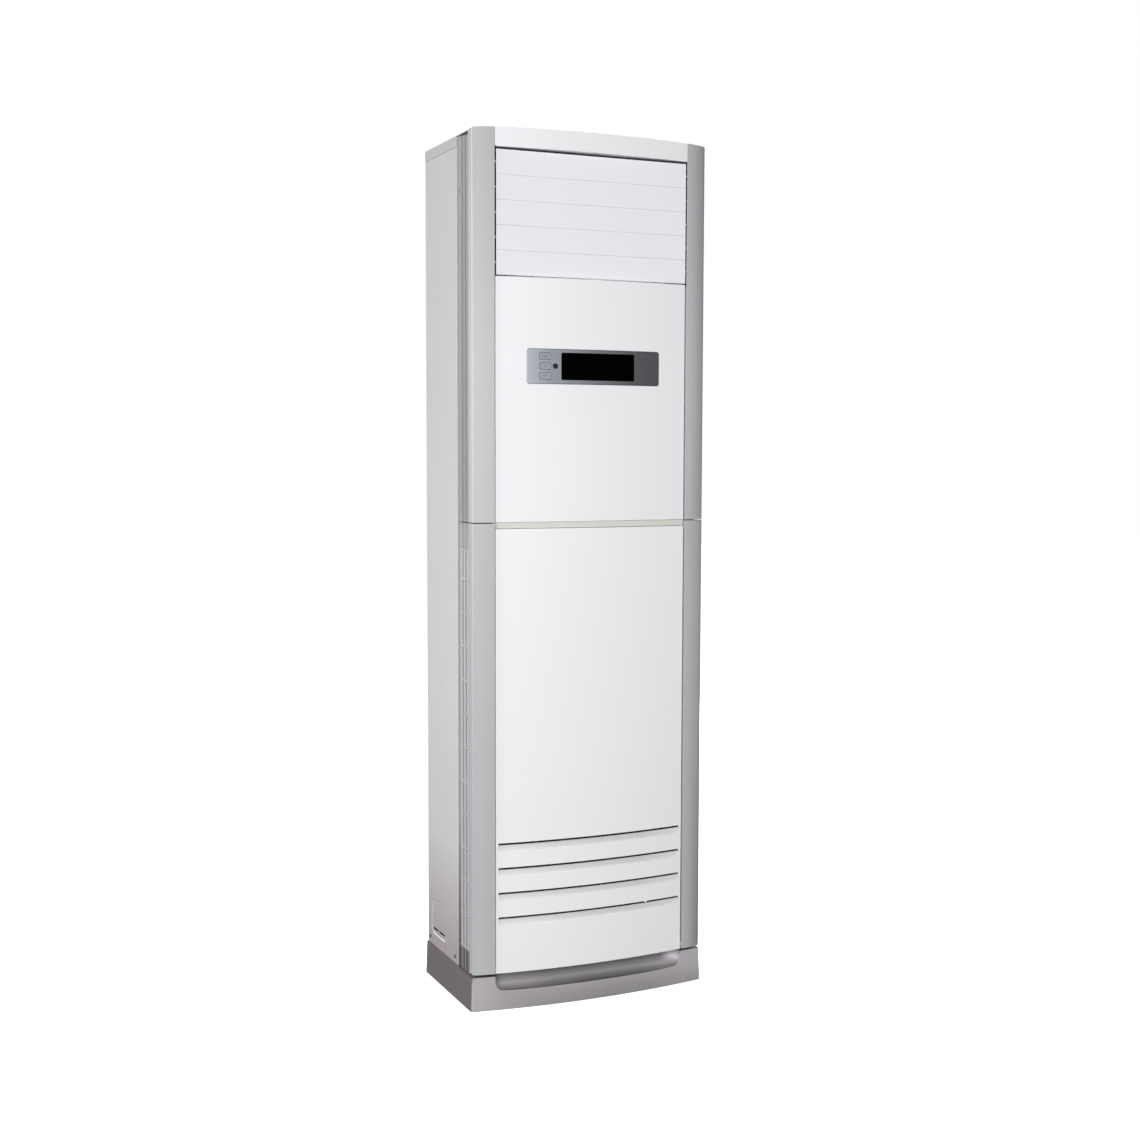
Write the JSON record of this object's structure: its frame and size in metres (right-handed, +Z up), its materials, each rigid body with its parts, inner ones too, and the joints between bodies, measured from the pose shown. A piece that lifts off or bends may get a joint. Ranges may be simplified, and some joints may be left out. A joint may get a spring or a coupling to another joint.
{
  "type": "floor standing air conditioner",
  "caption": "Tall floor standing indoor air conditioner with louvred outlet, swing vanes, display strip, scooped lower panel and side intake grilles.",
  "frame": {"origin": "middle of the footprint, on the floor", "axes": "+Z up, the front with the outlet faces -Y, +X is to the right for someone who looks at the front"},
  "size_m": [0.5208, 0.306, 1.7535],
  "materials": {
    "white_panel": "smooth satin white moulding",
    "louvre_white": "smooth satin white moulding",
    "post_grey": "fine grained grey moulding",
    "grille_grey": "fine grained grey moulding",
    "side_paint": "light grey powder coat",
    "cover_paint": "light grey powder coat",
    "plinth_grey": "fine grained warm dark grey moulding",
    "seam_grey": "greenish grey trim",
    "zinc_sheet": "zinc plated sheet",
    "bezel_silver": "smooth silver grey moulding",
    "window_dark": "polished dark window",
    "ir_dark": "polished dark red filter window",
    "button_grey": "smooth grey key cap",
    "duct_grey": "dark grey moulding",
    "vane_grey": "dark grey moulding",
    "link_black": "black moulding",
    "fan_grey": "grey glass-filled moulding",
    "motor_paint": "black enamel",
    "shaft_steel": "ground steel",
    "fin_aluminium": "thin coated fin stock",
    "copper": "drawn copper tube",
    "union_brass": "turned brass",
    "drain_white": "foam backed pan and plain pipe",
    "filter_mesh": "dark mesh in a moulded frame",
    "board_green": "circuit board with its components",
    "terminal_cream": "cream moulding",
    "gland_black": "black nylon",
    "screw_zinc": "zinc plated"
  },
  "bodies": {
    "cabinet": {"base_plinth": "plinth_grey", "base_pan": "zinc_sheet", "evaporator_plates": "zinc_sheet", "blower_deck": "zinc_sheet", "control_box": "zinc_sheet", "side_panel_left": "side_paint", "side_panel_right": "side_paint", "rear_panel": "side_paint", "top_cover": "cover_paint", "header_trim": "white_panel", "upper_front_panel": "white_panel", "upper_post_left": "post_grey", "upper_post_right": "post_grey", "lower_post_left": "post_grey", "lower_post_right": "post_grey", "side_grille_left": "grille_grey", "side_grille_right": "grille_grey", "air_filter_left": "filter_mesh", "air_filter_right": "filter_mesh", "seam_trim": "seam_grey", "display_bezel": "bezel_silver", "display_window": "window_dark", "ir_window": "ir_dark", "display_board": "board_green", "control_board": "board_green", "outlet_frame": "duct_grey", "louvre_motor": "motor_paint", "swing_motor": "motor_paint", "fan_motor": "motor_paint", "blower_housing": "fan_grey", "inlet_ring": "fan_grey", "evaporator_fins": "fin_aluminium", "evaporator_tubes": "copper", "refrigerant_pipes": "copper", "flare_unions": "union_brass", "drain_pan": "drain_white", "drain_pipe": "drain_white", "terminal_block": "terminal_cream", "cable_gland": "gland_black", "panel_screws": "screw_zinc"},
    "lower_door": {"lower_front_panel": "white_panel"},
    "button_upper_key": {"button_upper": "button_grey"},
    "button_middle_key": {"button_middle": "button_grey"},
    "button_lower_key": {"button_lower": "button_grey"},
    "louvre_1": {"louvre_blade_1": "louvre_white"},
    "louvre_2": {"louvre_blade_2": "louvre_white"},
    "louvre_3": {"louvre_blade_3": "louvre_white"},
    "louvre_4": {"louvre_blade_4": "louvre_white"},
    "louvre_5": {"louvre_blade_5": "louvre_white"},
    "louvre_link": {"louvre_link_bar": "link_black"},
    "vane_link": {"swing_link_bar": "link_black"},
    "vane_1": {"swing_vane_1": "vane_grey"},
    "vane_2": {"swing_vane_2": "vane_grey"},
    "vane_3": {"swing_vane_3": "vane_grey"},
    "vane_4": {"swing_vane_4": "vane_grey"},
    "vane_5": {"swing_vane_5": "vane_grey"},
    "vane_6": {"swing_vane_6": "vane_grey"},
    "vane_7": {"swing_vane_7": "vane_grey"},
    "rotor": {"impeller": "fan_grey", "motor_shaft": "shaft_steel"}
  },
  "joints": [
    {"name": "lower_panel_tilt", "type": "hinge", "parent": "cabinet", "child": "lower_door", "pos_m": [0, -0.13, 0.084], "axis": [1, 0, 0], "range_deg": [0, 18]},
    {"name": "louvre_1_tilt", "type": "hinge", "parent": "cabinet", "child": "louvre_1", "pos_m": [0, -0.131, 1.68678], "axis": [1, 0, 0], "range_deg": [0, 80]},
    {"name": "louvre_2_tilt", "type": "hinge", "parent": "cabinet", "child": "louvre_2", "pos_m": [0, -0.131, 1.63834], "axis": [1, 0, 0], "range_deg": [0, 80]},
    {"name": "louvre_3_tilt", "type": "hinge", "parent": "cabinet", "child": "louvre_3", "pos_m": [0, -0.131, 1.5899], "axis": [1, 0, 0], "range_deg": [0, 80]},
    {"name": "louvre_4_tilt", "type": "hinge", "parent": "cabinet", "child": "louvre_4", "pos_m": [0, -0.131, 1.54146], "axis": [1, 0, 0], "range_deg": [0, 80]},
    {"name": "louvre_5_tilt", "type": "hinge", "parent": "cabinet", "child": "louvre_5", "pos_m": [0, -0.131, 1.49302], "axis": [1, 0, 0], "range_deg": [0, 80]},
    {"name": "louvre_link_pivot", "type": "hinge", "parent": "louvre_1", "child": "louvre_link", "pos_m": [-0.2195, -0.117, 1.68678], "axis": [1, 0, 0], "range_deg": [-80, 0]},
    {"name": "vane_1_swing", "type": "hinge", "parent": "cabinet", "child": "vane_1", "pos_m": [-0.168, -0.083, 1.59], "axis": [0, 0, 1], "range_deg": [-35, 35]},
    {"name": "vane_2_swing", "type": "hinge", "parent": "cabinet", "child": "vane_2", "pos_m": [-0.112, -0.083, 1.59], "axis": [0, 0, 1], "range_deg": [-35, 35]},
    {"name": "vane_3_swing", "type": "hinge", "parent": "cabinet", "child": "vane_3", "pos_m": [-0.056, -0.083, 1.59], "axis": [0, 0, 1], "range_deg": [-35, 35]},
    {"name": "vane_4_swing", "type": "hinge", "parent": "cabinet", "child": "vane_4", "pos_m": [0, -0.083, 1.59], "axis": [0, 0, 1], "range_deg": [-35, 35]},
    {"name": "vane_5_swing", "type": "hinge", "parent": "cabinet", "child": "vane_5", "pos_m": [0.056, -0.083, 1.59], "axis": [0, 0, 1], "range_deg": [-35, 35]},
    {"name": "vane_6_swing", "type": "hinge", "parent": "cabinet", "child": "vane_6", "pos_m": [0.112, -0.083, 1.59], "axis": [0, 0, 1], "range_deg": [-35, 35]},
    {"name": "vane_7_swing", "type": "hinge", "parent": "cabinet", "child": "vane_7", "pos_m": [0.168, -0.083, 1.59], "axis": [0, 0, 1], "range_deg": [-35, 35]},
    {"name": "vane_link_pivot", "type": "hinge", "parent": "vane_1", "child": "vane_link", "pos_m": [-0.168, -0.067, 1.482], "axis": [0, 0, 1], "range_deg": [-35, 35]},
    {"name": "fan_spin", "type": "hinge", "parent": "cabinet", "child": "rotor", "pos_m": [-0.024, 0.022, 0.372], "axis": [0, 1, 0], "continuous": true},
    {"name": "button_upper_press", "type": "slide", "parent": "cabinet", "child": "button_upper_key", "axis": [0.0734, 0.9973, 0], "range_m": [0, 0.0012], "stiffness_N_per_m": 400},
    {"name": "button_middle_press", "type": "slide", "parent": "cabinet", "child": "button_middle_key", "axis": [0.0734, 0.9973, 0], "range_m": [0, 0.0012], "stiffness_N_per_m": 400},
    {"name": "button_lower_press", "type": "slide", "parent": "cabinet", "child": "button_lower_key", "axis": [0.0734, 0.9973, 0], "range_m": [0, 0.0012], "stiffness_N_per_m": 400}
  ],
  "couplings": [
    {"joint": "louvre_2_tilt", "follows": "louvre_1_tilt", "ratio": 1},
    {"joint": "louvre_3_tilt", "follows": "louvre_1_tilt", "ratio": 1},
    {"joint": "louvre_4_tilt", "follows": "louvre_1_tilt", "ratio": 1},
    {"joint": "louvre_5_tilt", "follows": "louvre_1_tilt", "ratio": 1},
    {"joint": "louvre_link_pivot", "follows": "louvre_1_tilt", "ratio": -1},
    {"joint": "vane_2_swing", "follows": "vane_1_swing", "ratio": 1},
    {"joint": "vane_3_swing", "follows": "vane_1_swing", "ratio": 1},
    {"joint": "vane_4_swing", "follows": "vane_1_swing", "ratio": 1},
    {"joint": "vane_5_swing", "follows": "vane_1_swing", "ratio": 1},
    {"joint": "vane_6_swing", "follows": "vane_1_swing", "ratio": 1},
    {"joint": "vane_7_swing", "follows": "vane_1_swing", "ratio": 1},
    {"joint": "vane_link_pivot", "follows": "vane_1_swing", "ratio": -1}
  ]
}
